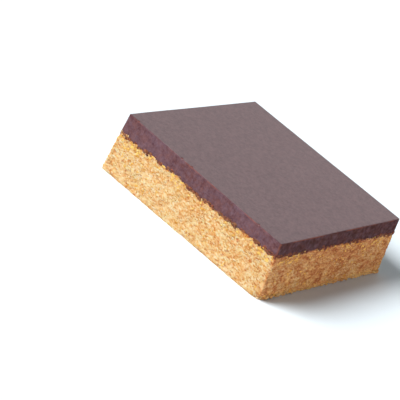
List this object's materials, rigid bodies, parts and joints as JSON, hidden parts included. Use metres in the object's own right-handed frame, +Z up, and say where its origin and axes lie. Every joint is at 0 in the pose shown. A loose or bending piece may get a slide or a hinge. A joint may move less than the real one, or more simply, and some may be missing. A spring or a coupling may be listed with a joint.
{
  "type": "protein bar",
  "caption": "Square-cut protein bar: a slab of pressed oat and nut crumb under a thick, level layer of dark chocolate, with rough cut sides.",
  "frame": {"origin": "middle of the footprint, on the surface that the bar lies on", "axes": "+X along the longer side of the bar, +Y along the shorter side to the far long side, +Z up through the chocolate"},
  "size_m": [0.062, 0.0582, 0.0183],
  "materials": {
    "oat_crumb": "pressed golden oat, nut and biscuit crumb, matt and rough, a little translucent, with small pits",
    "chocolate": "set dark chocolate, satin and even on top, drier with faint knife streaks on the cut sides"
  },
  "bodies": {
    "root": {"oat_base": "oat_crumb", "chocolate_layer": "chocolate"}
  },
  "joints": []
}
